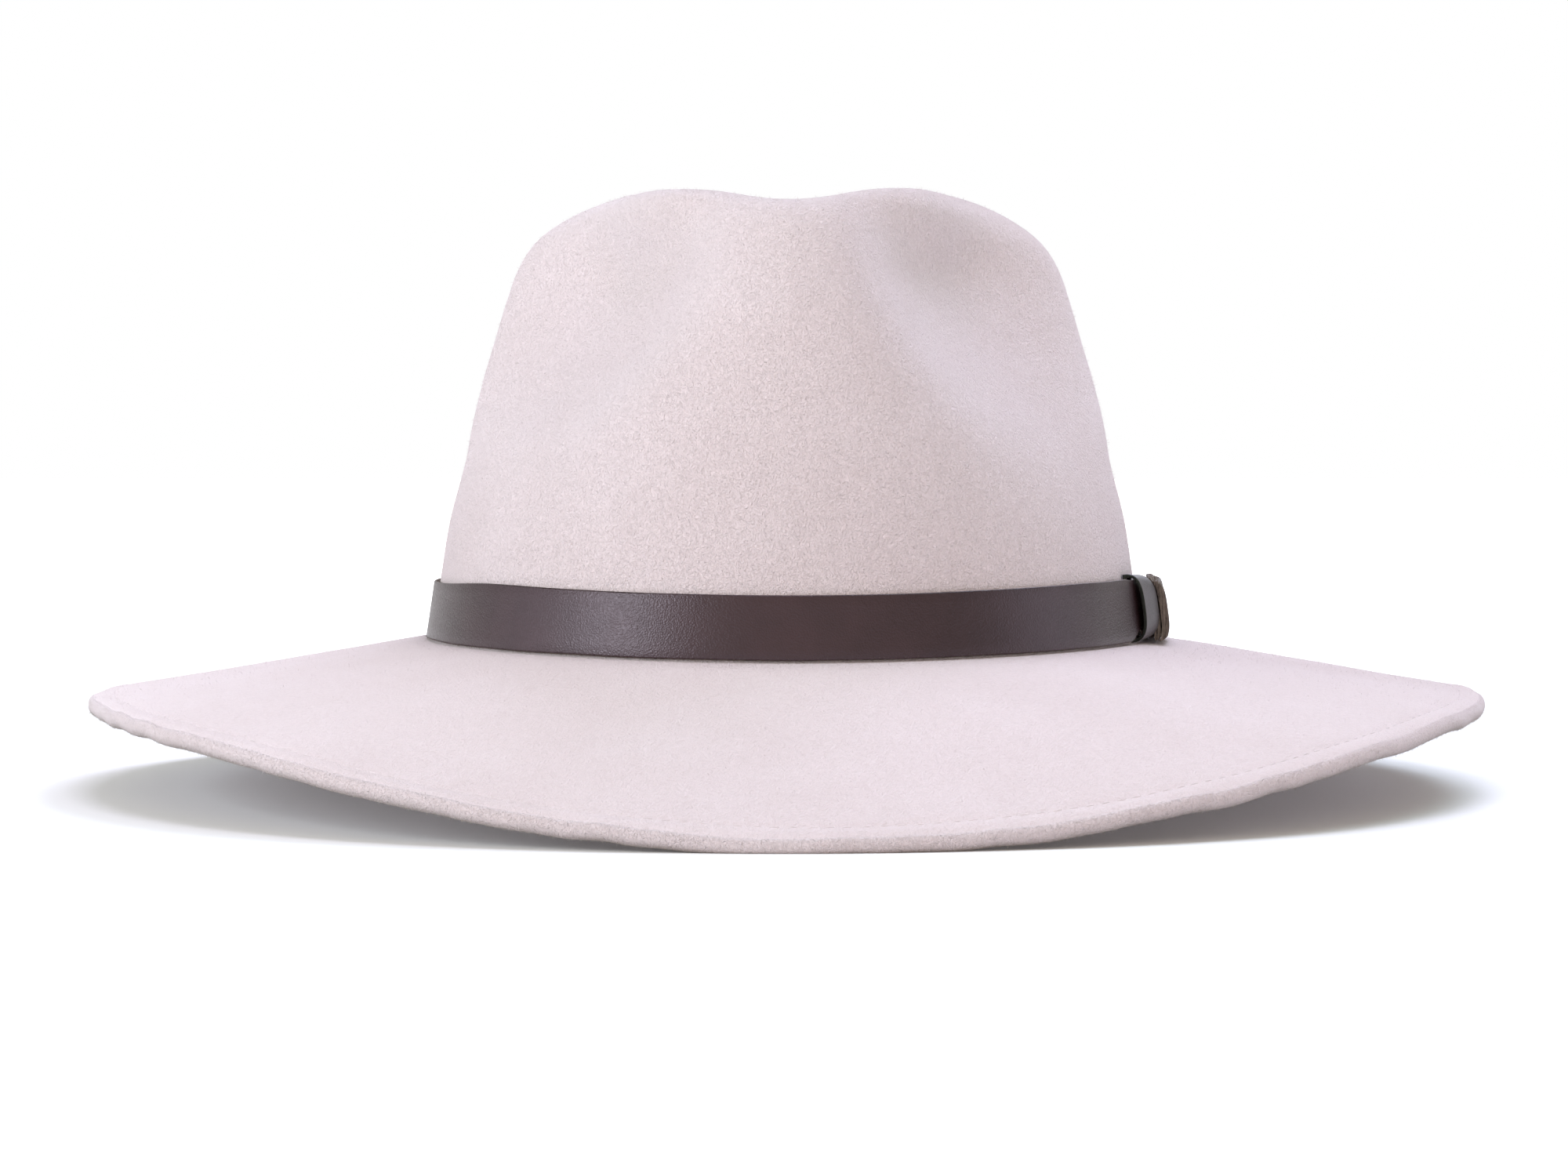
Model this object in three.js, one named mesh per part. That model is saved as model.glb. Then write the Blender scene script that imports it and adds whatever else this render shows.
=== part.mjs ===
// A felt fedora with a pinched teardrop crown, a brim that dips at the front and the back,
// and a narrow leather band that laps itself under a keeper loop at the wearer's left.
// Millimetres, +Z up. The front of the hat faces -Y and the wearer's left is +X.
// The origin lies under the middle of the hat, on the surface that the brim rests on.
import * as THREE from 'three';

// Crown: its outside where it meets the brim, and its height from there to the rim. The
// line where they meet dips at the front and the back.
const CROWN_HALF_WIDTH = 85.5;
const CROWN_HALF_LENGTH = 103;
const CROWN_HEIGHT = 106.4;
const FELT_THICKNESS = 2.2;
const BREAK_DIP = 0.8;

// Rim of the crown: the saddle at the front, the slope to the back, and the dent inside it.
const CROWN_LEAN = 0.7;
const RIM_SADDLE = 3.8;
const RIM_SADDLE_TURN = 29;
const RIM_BACK_DROP = 4;
const TOP_DENT_DEPTH = 27;
const TOP_DENT_SHIFT = 4;

// Front pinches: one oval hollow on each side of the nose, in degrees from the front and
// in millimetres above the brim. The rim holds most of the depth back, from PINCH_HOLD_START up.
const PINCH_DEPTH = 31.2;
const PINCH_TURN = 64;
const PINCH_NOSE_SPREAD = 49.5;
const PINCH_BACK_SPREAD = 36.4;
const PINCH_HEIGHT = 102;
const PINCH_REACH = 54.2;
const PINCH_FULLNESS = 2.65;
const PINCH_NOSE_SOFTNESS = 0.77;
const PINCH_BACK_SOFTNESS = 1.24;
const PINCH_CREASE = 0.39;
const PINCH_HOLD = 0.89;
const PINCH_HOLD_START = 83.2;
const PINCH_HOLD_SHARPNESS = 1.7;

// Brim: its cut width from crown to edge, its slopes, and the folded edge.
const BRIM_WIDTH = 83;
const BRIM_SIDE_SLOPE = 9.2;
const BRIM_DIP_SLOPE = 23.5;
const BRIM_DIP_TURN = 3;
const BRIM_FRONT_SHARPNESS = 4;
const BRIM_BACK_SHARPNESS = 1.8;
const BRIM_EASE = 2.5;
const BREAK_FILLET = 1;
const FOLD_WIDTH = 7.5;
const REST_FLAT = 0.9;

// Leather band, keeper loop and folded tab.
const LEATHER_THICKNESS = 1.4;
const LEATHER_BEVEL = 0.3;
const BAND_HEIGHT = 13.8;
const BAND_LIFT = 0.9;
const BAND_SIDE_RISE = 0.5;
const SEAT_GAP = 0.3;
const KEEPER_TURN = 72;
const KEEPER_WIDTH = 6.6;
const KEEPER_THICKNESS = 0.9;
const KEEPER_BOW = 0.8;
const KEEPER_SLACK = 0.4;
const BULGE_LENGTH = 11;
const NARROW_LENGTH = 7;
const KEEPER_SQUEEZE = 0.6;
const LAP_LENGTH = 39;
const LAP_CLIMB = 20;
const LAP_INSIDE_KEEPER = 4;
const TAB_LENGTH = 32;
const TAB_OVERHANG = 0.9;
const TAB_CREST = 0.1;
const TAB_TAPER = 1.5;

// How finely the round forms are divided.
const TURN_STEPS = 72;
const FOLD_STEPS = 6;
const BOW_STEPS = 14;
const STRAP_STEP = 8.6;
const STRAP_FINE_STEP = 2.6;

const DEGREE = Math.PI / 180;

// Crown wall from the brim up to the rim, as shares of the crown's height, half width and
// half length to the front and to the back.
const CROWN_SECTIONS = [
  { height: 0.16, width: 0.972, front: 0.976, back: 0.982 },
  { height: 0.27, width: 0.949, front: 0.955, back: 0.968 },
  { height: 0.4, width: 0.913, front: 0.922, back: 0.95 },
  { height: 0.47, width: 0.905, front: 0.901, back: 0.938 },
  { height: 0.54, width: 0.896, front: 0.88, back: 0.926 },
  { height: 0.6, width: 0.885, front: 0.867, back: 0.914 },
  { height: 0.66, width: 0.872, front: 0.852, back: 0.9 },
  { height: 0.76, width: 0.846, front: 0.824, back: 0.87 },
  { height: 0.84, width: 0.815, front: 0.784, back: 0.836 },
  { height: 0.9, width: 0.764, front: 0.746, back: 0.796 },
  { height: 0.95, width: 0.673, front: 0.705, back: 0.745 },
  { height: 0.985, width: 0.562, front: 0.657, back: 0.685 },
  { height: 1, width: 0.455, front: 0.592, back: 0.62 },
];

// Top of the crown from the rim into the dent, as shares of the rim's outline and of the
// dent's depth.
const TOP_SECTIONS = [
  { reach: 0.87, sink: 0.07 },
  { reach: 0.73, sink: 0.3 },
  { reach: 0.58, sink: 0.62 },
  { reach: 0.4, sink: 0.88 },
  { reach: 0.2, sink: 0.98 },
];

// Rings across the brim between its fillet and its folded edge, as shares of its width.
const BRIM_RINGS = [0.06, 0.13, 0.25, 0.42, 0.6, 0.77];

const smooth = (share) => {
  const t = Math.min(1, Math.max(0, share));
  return t * t * (3 - 2 * t);
};

// The point of an oval at a turn from the front (-Y) towards the wearer's left (+X).
function ovalPoint(turn, halfWidth, halfFront, halfBack, z) {
  const halfLength = Math.cos(turn) > 0 ? halfFront : halfBack;
  return new THREE.Vector3(halfWidth * Math.sin(turn), -halfLength * Math.cos(turn), z);
}

// The outward direction of that oval in plan.
function ovalNormal(turn, halfWidth, halfFront, halfBack) {
  const halfLength = Math.cos(turn) > 0 ? halfFront : halfBack;
  return new THREE.Vector3(Math.sin(turn) / halfWidth, -Math.cos(turn) / halfLength, 0).normalize();
}

// How far a front pinch pushes the wall in, at a height above the brim.
function pinchDepth(turn, height) {
  const fromFront = Math.abs(Math.atan2(Math.sin(turn), Math.cos(turn))) / DEGREE;
  const beyond = fromFront - PINCH_TURN;
  const across = beyond / (beyond > 0 ? PINCH_BACK_SPREAD : PINCH_NOSE_SPREAD);
  const up = (height - PINCH_HEIGHT) / PINCH_REACH;
  const inside = 1 - Math.hypot(across, up) ** PINCH_FULLNESS;
  const rounded = (inside + Math.hypot(inside, PINCH_CREASE)) / 2 - 0.02 * PINCH_CREASE;
  if (rounded <= 0) return 0;
  const softness = THREE.MathUtils.lerp(PINCH_NOSE_SOFTNESS, PINCH_BACK_SOFTNESS, smooth(across + 0.5));
  const nearRim = Math.max(0, (height - PINCH_HOLD_START) / (CROWN_HEIGHT - PINCH_HOLD_START));
  const held = 1 - PINCH_HOLD * nearRim ** PINCH_HOLD_SHARPNESS;
  return PINCH_DEPTH * held * rounded ** softness;
}

function rimHeight(turn) {
  const fromFront = Math.abs(Math.atan2(Math.sin(turn), Math.cos(turn))) / DEGREE;
  const saddle = RIM_SADDLE * Math.exp(-((fromFront / RIM_SADDLE_TURN) ** 2));
  const backDrop = RIM_BACK_DROP * smooth((fromFront - 90) / 90);
  return CROWN_HEIGHT - saddle - backDrop;
}

// Height of the line between crown and brim, from its highest places at the sides.
const breakLine = (turn) => -BREAK_DIP * Math.cos(turn) ** 4;

function breakPoint(turn) {
  return ovalPoint(turn, CROWN_HALF_WIDTH, CROWN_HALF_LENGTH, CROWN_HALF_LENGTH, breakLine(turn));
}

function crownPoint(turn, section, pinchShare = 1) {
  const width = CROWN_HALF_WIDTH * section.width;
  const front = CROWN_HALF_LENGTH * section.front;
  const back = CROWN_HALF_LENGTH * section.back;
  const height = THREE.MathUtils.lerp(breakLine(turn), rimHeight(turn), section.height);
  const depth = pinchShare * pinchDepth(turn, height);
  const inward = ovalNormal(turn, width, front, back).multiplyScalar(-depth);
  const point = ovalPoint(turn, width, front, back, height).add(inward);
  point.x += CROWN_LEAN * section.height;
  return point;
}

function topPoint(turn, section) {
  const rim = crownPoint(turn, CROWN_SECTIONS.at(-1), Math.min(1, section.reach + 0.2));
  const floor = CROWN_HEIGHT - TOP_DENT_DEPTH;
  const point = new THREE.Vector3(CROWN_LEAN, TOP_DENT_SHIFT, 0).lerp(rim, section.reach);
  point.z = THREE.MathUtils.lerp(rim.z, floor, section.sink);
  return point;
}

// The brim leaves the crown along the oval's normal, so that its width is the same all round.
function brimSlope(turn) {
  const along = Math.cos(turn - BRIM_DIP_TURN * DEGREE);
  const dip = Math.abs(along) ** (along > 0 ? BRIM_FRONT_SHARPNESS : BRIM_BACK_SHARPNESS);
  return THREE.MathUtils.lerp(BRIM_SIDE_SLOPE, BRIM_DIP_SLOPE, dip) * DEGREE;
}

// A point on the brim's top, at a distance from the crown. The slope sets in over BRIM_EASE.
function brimPoint(turn, distance) {
  const slope = brimSlope(turn);
  const sloping = distance - BRIM_EASE * (1 - Math.exp(-distance / BRIM_EASE));
  const outward = ovalNormal(turn, CROWN_HALF_WIDTH, CROWN_HALF_LENGTH, CROWN_HALF_LENGTH);
  const point = breakPoint(turn).addScaledVector(outward, distance * Math.cos(slope));
  point.z -= sloping * Math.sin(slope);
  return point;
}

// The lowest stretch of the crown's wall is straight: its foot, its direction and its normal.
function wallFrame(turn) {
  const foot = breakPoint(turn);
  const up = crownPoint(turn, CROWN_SECTIONS[0]).sub(foot).normalize();
  const along = new THREE.Vector3(
    CROWN_HALF_WIDTH * Math.cos(turn),
    CROWN_HALF_LENGTH * Math.sin(turn),
    0,
  ).normalize();
  const out = new THREE.Vector3().crossVectors(along, up).normalize();
  return { foot, up, along, out };
}

function filletPoint(turn, share) {
  const { foot, up } = wallFrame(turn);
  const wallEnd = foot.clone().addScaledVector(up, BREAK_FILLET);
  const brimEnd = brimPoint(turn, BREAK_FILLET);
  return wallEnd.lerp(foot, share).lerp(foot.lerp(brimEnd, share), share);
}

// A ring of points at one place of the profile, all the way round the hat.
function ring(pointAt) {
  return Array.from({ length: TURN_STEPS }, (_, i) => pointAt((i / TURN_STEPS) * 2 * Math.PI));
}

// The felt's upper skin as rings, from the middle of the crown's top out to the brim's edge.
function upperSkin() {
  const edge = BRIM_WIDTH - FELT_THICKNESS;
  return [
    ...[...TOP_SECTIONS].reverse().map((section) => ring((turn) => topPoint(turn, section))),
    ...[...CROWN_SECTIONS].reverse().map((section) => ring((turn) => crownPoint(turn, section))),
    ring((turn) => filletPoint(turn, 0)),
    ring((turn) => filletPoint(turn, 0.5)),
    ring((turn) => filletPoint(turn, 1)),
    ...BRIM_RINGS.map((share) => ring((turn) => brimPoint(turn, share * BRIM_WIDTH))),
    ring((turn) => brimPoint(turn, BRIM_WIDTH - FOLD_WIDTH)),
    ring((turn) => brimPoint(turn, edge)),
  ];
}

// Outward normals of the upper skin, from each point's neighbours along and around it.
function skinNormals(rings) {
  return rings.map((row, r) =>
    row.map((_, i) => {
      const inner = rings[Math.max(0, r - 1)][i];
      const outer = rings[Math.min(rings.length - 1, r + 1)][i];
      const before = row[(i + TURN_STEPS - 1) % TURN_STEPS];
      const after = row[(i + 1) % TURN_STEPS];
      const down = new THREE.Vector3().subVectors(outer, inner);
      const around = new THREE.Vector3().subVectors(after, before);
      return new THREE.Vector3().crossVectors(down, around).normalize();
    }),
  );
}

// A closed surface from rings that run from one end point to another.
function closedByRings(firstPoint, rings, lastPoint) {
  const positions = [firstPoint, ...rings.flat(), lastPoint].flatMap((p) => p.toArray());
  const triangles = [];
  const at = (r, i) => 1 + r * TURN_STEPS + (i % TURN_STEPS);
  const last = 1 + rings.length * TURN_STEPS;
  for (let i = 0; i < TURN_STEPS; i++) {
    triangles.push(0, at(0, i), at(0, i + 1));
    for (let r = 0; r + 1 < rings.length; r++) {
      triangles.push(at(r, i), at(r + 1, i), at(r + 1, i + 1));
      triangles.push(at(r, i), at(r + 1, i + 1), at(r, i + 1));
    }
    triangles.push(last, at(rings.length - 1, i + 1), at(rings.length - 1, i));
  }
  const geometry = new THREE.BufferGeometry();
  geometry.setAttribute('position', new THREE.Float32BufferAttribute(positions, 3));
  geometry.setIndex(triangles);
  return geometry;
}

// The felt is one sheet: crown and brim, with the brim's edge folded under and stitched.
function feltGeometry(breakHeight) {
  const upper = upperSkin();
  const normals = skinNormals(upper);
  const sunk = (r, depth) => upper[r].map((p, i) => p.clone().addScaledVector(normals[r][i], -depth));
  const edgeRow = upper.length - 1;
  const foldRow = edgeRow - 1;

  // The fold is half a tube round a line one felt thickness below the top.
  const foldRings = Array.from({ length: FOLD_STEPS }, (_, k) => {
    const angle = ((k + 1) / FOLD_STEPS) * Math.PI;
    return upper[edgeRow].map((p, i) => {
      const normal = normals[edgeRow][i];
      const outward = new THREE.Vector3().subVectors(p, upper[foldRow][i]).normalize();
      return p
        .clone()
        .addScaledVector(normal, -FELT_THICKNESS * (1 - Math.cos(angle)))
        .addScaledVector(outward, FELT_THICKNESS * Math.sin(angle));
    });
  });
  const rawEdge = sunk(foldRow, 2 * FELT_THICKNESS);
  const underFold = upper[foldRow].map((p, i) => {
    const inward = new THREE.Vector3().subVectors(upper[foldRow - 1][i], p).normalize();
    return p
      .clone()
      .addScaledVector(normals[foldRow][i], -FELT_THICKNESS)
      .addScaledVector(inward, FELT_THICKNESS / 4);
  });

  const lowerRings = [];
  for (let r = foldRow - 1; r >= 0; r--) lowerRings.push(sunk(r, FELT_THICKNESS));

  const top = new THREE.Vector3(CROWN_LEAN, TOP_DENT_SHIFT, CROWN_HEIGHT - TOP_DENT_DEPTH);
  const underTop = top.clone().setZ(top.z - FELT_THICKNESS);
  const rings = [...upper, ...foldRings, rawEdge, underFold, ...lowerRings];
  const geometry = closedByRings(top, rings, underTop).translate(0, 0, breakHeight);

  // The brim is pressed flat where it rests.
  const position = geometry.getAttribute('position');
  for (let i = 0; i < position.count; i++) position.setZ(i, Math.max(0, position.getZ(i)));
  return geometry;
}

// Height of the crown's foot above the surface, from the lowest point of the folded edge.
function findBreakHeight() {
  const geometry = feltGeometry(10 * CROWN_HEIGHT);
  geometry.computeBoundingBox();
  return 10 * CROWN_HEIGHT - geometry.boundingBox.min.z - REST_FLAT;
}

const BREAK_HEIGHT = findBreakHeight();

// The turn that lies a distance round the crown's foot from another turn.
function turnAfter(turn, distance) {
  const steps = Math.ceil(Math.abs(distance)) + 1;
  let at = turn;
  for (let k = 0; k < steps; k++) {
    const speed = Math.hypot(CROWN_HALF_WIDTH * Math.cos(at), CROWN_HALF_LENGTH * Math.sin(at));
    at += distance / steps / speed;
  }
  return at;
}

function distanceRound() {
  const steps = 360;
  let total = 0;
  for (let k = 0; k < steps; k++) {
    const at = ((k + 0.5) / steps) * 2 * Math.PI;
    total += Math.hypot(CROWN_HALF_WIDTH * Math.cos(at), CROWN_HALF_LENGTH * Math.sin(at));
  }
  return (total * 2 * Math.PI) / steps;
}

const AROUND = distanceRound();
const LAYER_PITCH = LEATHER_THICKNESS + SEAT_GAP;

// Places along the band are distances behind the keeper's middle. Round the keeper the band
// stands off the felt and narrows, to leave room for the loop behind and below it.
const wrapped = (place) => place - AROUND * Math.round(place / AROUND);
const bulge = (place) =>
  (KEEPER_THICKNESS + SEAT_GAP) * Math.exp(-((wrapped(place) / BULGE_LENGTH) ** 2));
const narrowing = (place) => Math.exp(-((wrapped(place) / NARROW_LENGTH) ** 4));
const bandSeat = (place) =>
  BAND_LIFT + BAND_SIDE_RISE * (1 - Math.cos(turnAfter(KEEPER_TURN * DEGREE, wrapped(place))) ** 4);
const bandLow = (place) => bandSeat(place) + (KEEPER_THICKNESS + SEAT_GAP) * narrowing(place);
const bandHigh = (place) => bandSeat(place) + BAND_HEIGHT - KEEPER_SQUEEZE * narrowing(place);

// A point beside the crown's wall: along the band, off the felt, and up the wall.
function besideWall(place, off, up) {
  const frame = wallFrame(turnAfter(KEEPER_TURN * DEGREE, wrapped(place)));
  const point = frame.foot.clone().addScaledVector(frame.out, off).addScaledVector(frame.up, up);
  point.z += BREAK_HEIGHT;
  return point;
}

// A closed body from cross-sections with the same number of points, each a flat loop.
function loft(sections) {
  const n = sections[0].length;
  const positions = sections.flat().flatMap((p) => p.toArray());
  const triangles = [];
  for (let s = 0; s + 1 < sections.length; s++) {
    for (let i = 0; i < n; i++) {
      const [a, b] = [s * n + i, s * n + ((i + 1) % n)];
      triangles.push(a, b, b + n, a, b + n, a + n);
    }
  }
  const end = (sections.length - 1) * n;
  for (let i = 1; i + 1 < n; i++) {
    triangles.push(0, i + 1, i);
    triangles.push(end, end + i, end + i + 1);
  }
  const geometry = new THREE.BufferGeometry();
  geometry.setAttribute('position', new THREE.Float32BufferAttribute(positions, 3));
  geometry.setIndex(triangles);
  return geometry;
}

// Cross-section of a leather strip at a place, with its two outer edges bevelled.
// middle is how far the strip's middle is off the felt, and turned is how far it has folded.
function stripSection({ place, middle, low, high, turned = 0 }) {
  const half = LEATHER_THICKNESS / 2;
  const corner = half - LEATHER_BEVEL;
  const profile = [
    [-half, low],
    [corner, low],
    [half, low + LEATHER_BEVEL],
    [half, high - LEATHER_BEVEL],
    [corner, high],
    [-half, high],
  ];
  return profile.map(([thick, up]) =>
    besideWall(place + thick * Math.sin(turned), middle + thick * Math.cos(turned), up),
  );
}

// The band is one strap. It starts under its own lap, runs forward round the crown, climbs
// over its start and ends inside the keeper.
function bandGeometry() {
  const start = LAP_LENGTH;
  const end = LAP_INSIDE_KEEPER - AROUND;
  const fineFrom = LAP_LENGTH + LAP_CLIMB - AROUND;
  const places = [];
  for (let place = start; place > end; ) {
    places.push(place);
    const fine = place > -LAP_CLIMB || place < fineFrom;
    place -= fine ? STRAP_FINE_STEP : STRAP_STEP;
  }
  if (places.at(-1) - end < STRAP_FINE_STEP / 2) places.pop();
  places.push(end);
  const sections = places.map((place) => {
    const climb = smooth((fineFrom - place) / LAP_CLIMB) * LAYER_PITCH;
    const middle = SEAT_GAP + LEATHER_THICKNESS / 2 + bulge(place) + climb;
    return stripSection({ place, middle, low: bandLow(place), high: bandHigh(place) });
  });
  return loft(sections);
}

// The tab is a strip folded back on itself, both cut ends facing the keeper.
function tabGeometry() {
  const front = KEEPER_WIDTH / 2 + SEAT_GAP;
  const foldPlace = front + TAB_LENGTH - LAYER_PITCH;
  const lapMiddle = SEAT_GAP + LEATHER_THICKNESS / 2 + LAYER_PITCH;
  const lean = wallFrame(KEEPER_TURN * DEGREE).out.z;
  const runSteps = Math.round((foldPlace - front) / (2 * STRAP_FINE_STEP));
  const station = (place, middle, turned) => ({
    place,
    middle,
    turned,
    low: bandSeat(place) - TAB_OVERHANG - middle * lean,
    high: bandSeat(place) + BAND_HEIGHT + TAB_CREST - middle * lean - TAB_TAPER * (0.5 + 0.5 * Math.cos(turned)),
  });
  const stations = [];
  for (let k = 0; k < runSteps; k++) {
    const place = front + ((foldPlace - front) * k) / runSteps;
    stations.push(station(place, lapMiddle + bulge(place) + LAYER_PITCH, Math.PI));
  }
  for (let k = 0; k <= FOLD_STEPS; k++) {
    const turned = Math.PI * (1 - k / FOLD_STEPS);
    const foldMiddle = lapMiddle + bulge(foldPlace) + 1.5 * LAYER_PITCH;
    const radius = LAYER_PITCH / 2;
    stations.push(
      station(foldPlace + radius * Math.sin(turned), foldMiddle + radius * Math.cos(turned), turned),
    );
  }
  for (let k = runSteps - 1; k >= 0; k--) {
    const place = front + ((foldPlace - front) * k) / runSteps;
    stations.push(station(place, lapMiddle + bulge(place) + 2 * LAYER_PITCH, 0));
  }
  return loft(stations.map(stripSection));
}

// One outline of the keeper at a place: straight behind the band, bowed in front of it.
function keeperOutline(place, inset) {
  const overLap = smooth((place + KEEPER_WIDTH / 2) / KEEPER_WIDTH) * LAYER_PITCH;
  const bandOuter = SEAT_GAP + bulge(place) + LEATHER_THICKNESS;
  const near = SEAT_GAP + inset;
  const far = bandOuter + overLap + KEEPER_BOW + KEEPER_THICKNESS - inset;
  const middle = (bandLow(place) + bandHigh(place)) / 2;
  const half = bandHigh(place) - middle + KEEPER_SLACK + KEEPER_THICKNESS - inset;
  return Array.from({ length: BOW_STEPS + 1 }, (_, k) => {
    const angle = (k / BOW_STEPS - 0.5) * Math.PI;
    const off = near + (far - near) * Math.abs(Math.cos(angle)) ** (2 / 3);
    const up = middle + half * Math.sign(angle) * Math.abs(Math.sin(angle)) ** (2 / 3);
    return besideWall(place, k % BOW_STEPS ? off : near, up);
  });
}

// The keeper is a closed loop of thin leather round the band and the end of its lap.
function keeperGeometry() {
  const places = [-KEEPER_WIDTH / 2, 0, KEEPER_WIDTH / 2];
  const outer = places.map((place) => keeperOutline(place, 0));
  const inner = places.map((place) => keeperOutline(place, KEEPER_THICKNESS));
  const loops = [...outer, ...inner.reverse()];
  const n = loops[0].length;
  const triangles = [];
  loops.forEach((_, s) => {
    const next = (s + 1) % loops.length;
    for (let i = 0; i < n; i++) {
      const [a, b] = [s * n + i, s * n + ((i + 1) % n)];
      const [c, d] = [next * n + ((i + 1) % n), next * n + i];
      triangles.push(a, c, b, a, d, c);
    }
  });
  const geometry = new THREE.BufferGeometry();
  const positions = loops.flat().flatMap((p) => p.toArray());
  geometry.setAttribute('position', new THREE.Float32BufferAttribute(positions, 3));
  geometry.setIndex(triangles);
  return geometry;
}

function named(name, geometry, material) {
  const mesh = new THREE.Mesh(geometry, material);
  mesh.name = name;
  return mesh;
}

const felt = new THREE.MeshStandardMaterial({ color: 0xe9dde0, roughness: 0.95, metalness: 0 });
const leather = new THREE.MeshStandardMaterial({ color: 0x3d2c2a, roughness: 0.45, metalness: 0 });
const loopLeather = new THREE.MeshStandardMaterial({ color: 0x453a38, roughness: 0.4, metalness: 0 });

const hat = new THREE.Group();
hat.add(named('felt_body', feltGeometry(BREAK_HEIGHT), felt));
hat.add(named('hat_band', bandGeometry(), leather));
hat.add(named('band_tab', tabGeometry(), leather));
hat.add(named('keeper_loop', keeperGeometry(), loopLeather));

export default hat;
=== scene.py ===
"""A pale wool felt fedora with a narrow leather band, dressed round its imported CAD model.

Lengths are in millimetres while a shape is worked out, and in metres once it is a mesh.
The front of the hat faces -Y and the wearer's left is +X. A turn is measured round the crown
from the front towards the wearer's left.
"""

import math

import bpy
import numpy as np
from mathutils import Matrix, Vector, noise


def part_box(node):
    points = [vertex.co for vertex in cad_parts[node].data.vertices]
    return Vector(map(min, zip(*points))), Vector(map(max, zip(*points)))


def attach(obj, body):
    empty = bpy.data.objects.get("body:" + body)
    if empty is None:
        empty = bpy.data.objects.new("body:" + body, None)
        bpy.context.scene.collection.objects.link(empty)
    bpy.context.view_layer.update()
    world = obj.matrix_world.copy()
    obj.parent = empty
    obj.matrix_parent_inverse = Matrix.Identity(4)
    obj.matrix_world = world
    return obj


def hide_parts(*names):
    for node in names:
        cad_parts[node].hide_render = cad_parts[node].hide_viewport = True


MM = 0.001
SEED = 58

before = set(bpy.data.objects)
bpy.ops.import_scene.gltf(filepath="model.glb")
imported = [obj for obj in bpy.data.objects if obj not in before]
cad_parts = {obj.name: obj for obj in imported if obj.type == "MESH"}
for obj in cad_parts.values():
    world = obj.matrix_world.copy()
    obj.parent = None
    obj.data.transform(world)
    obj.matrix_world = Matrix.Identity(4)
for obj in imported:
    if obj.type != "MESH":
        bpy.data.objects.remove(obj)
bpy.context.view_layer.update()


# The hat's sizes, as in the part's source.

CROWN_HALF_WIDTH, CROWN_HALF_LENGTH, CROWN_HEIGHT = 85.5, 103.0, 106.4
FELT_THICKNESS, BREAK_DIP, BREAK_FILLET = 2.2, 0.8, 1.0
CROWN_LEAN, RIM_SADDLE, RIM_SADDLE_TURN, RIM_BACK_DROP = 0.7, 3.8, 29.0, 4.0
TOP_DENT_DEPTH, TOP_DENT_SHIFT = 27.0, 4.0
PINCH_DEPTH, PINCH_TURN, PINCH_NOSE_SPREAD, PINCH_BACK_SPREAD = 31.2, 64.0, 49.5, 36.4
PINCH_HEIGHT, PINCH_REACH, PINCH_FULLNESS = 102.0, 54.2, 2.65
PINCH_NOSE_SOFTNESS, PINCH_BACK_SOFTNESS, PINCH_CREASE = 0.77, 1.24, 0.39
PINCH_HOLD, PINCH_HOLD_START, PINCH_HOLD_SHARPNESS = 0.89, 83.2, 1.7
BRIM_WIDTH, BRIM_SIDE_SLOPE, BRIM_DIP_SLOPE = 83.0, 9.2, 23.5
BRIM_DIP_TURN, BRIM_FRONT_SHARPNESS, BRIM_BACK_SHARPNESS = 3.0, 4.0, 1.8
BRIM_EASE, FOLD_WIDTH = 2.5, 7.5
LEATHER_THICKNESS, BAND_HEIGHT, BAND_LIFT, BAND_SIDE_RISE = 1.4, 13.8, 0.9, 0.5
SEAT_GAP = 0.3
KEEPER_TURN, KEEPER_WIDTH, KEEPER_THICKNESS = 72.0, 6.6, 0.9
KEEPER_BOW, KEEPER_SLACK, KEEPER_SQUEEZE = 0.8, 0.4, 0.6
BULGE_LENGTH, NARROW_LENGTH = 11.0, 7.0
LAP_LENGTH, LAP_CLIMB, LAP_INSIDE_KEEPER = 39.0, 20.0, 4.0
TAB_LENGTH, TAB_OVERHANG, TAB_CREST, TAB_TAPER = 32.0, 0.9, 0.1, 1.5
LAYER_PITCH = LEATHER_THICKNESS + SEAT_GAP

# Crown wall: height share, then shares of half width and of half length front and back.
CROWN_SECTIONS = np.array([
    (0.0, 1.0, 1.0, 1.0),
    (0.16, 0.972, 0.976, 0.982),
    (0.27, 0.949, 0.955, 0.968),
    (0.4, 0.913, 0.922, 0.95),
    (0.47, 0.905, 0.901, 0.938),
    (0.54, 0.896, 0.88, 0.926),
    (0.6, 0.885, 0.867, 0.914),
    (0.66, 0.872, 0.852, 0.9),
    (0.76, 0.846, 0.824, 0.87),
    (0.84, 0.815, 0.784, 0.836),
    (0.9, 0.764, 0.746, 0.796),
    (0.95, 0.673, 0.705, 0.745),
    (0.985, 0.562, 0.657, 0.685),
    (1.0, 0.455, 0.592, 0.62),
])

# The size that each column of those shares is a share of.
SECTION_SIZES = ((CROWN_HALF_WIDTH, 1), (CROWN_HALF_LENGTH, 2), (CROWN_HALF_LENGTH, 3))

WALL_SHARE = 0.16  # the crown's wall is straight up to here, behind the band

# Top of the crown: reach as a share of the rim's outline, and sink as a share of the dent.
TOP_SECTIONS = np.array([
    (0.0, 1.0), (0.2, 0.98), (0.4, 0.88), (0.58, 0.62), (0.73, 0.3), (0.87, 0.07), (1.0, 0.0),
])


# Maths for arrays of turns (radians) and of heights or distances (millimetres).

def smooth(share):
    t = np.clip(share, 0, 1)
    return t * t * (3 - 2 * t)


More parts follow.
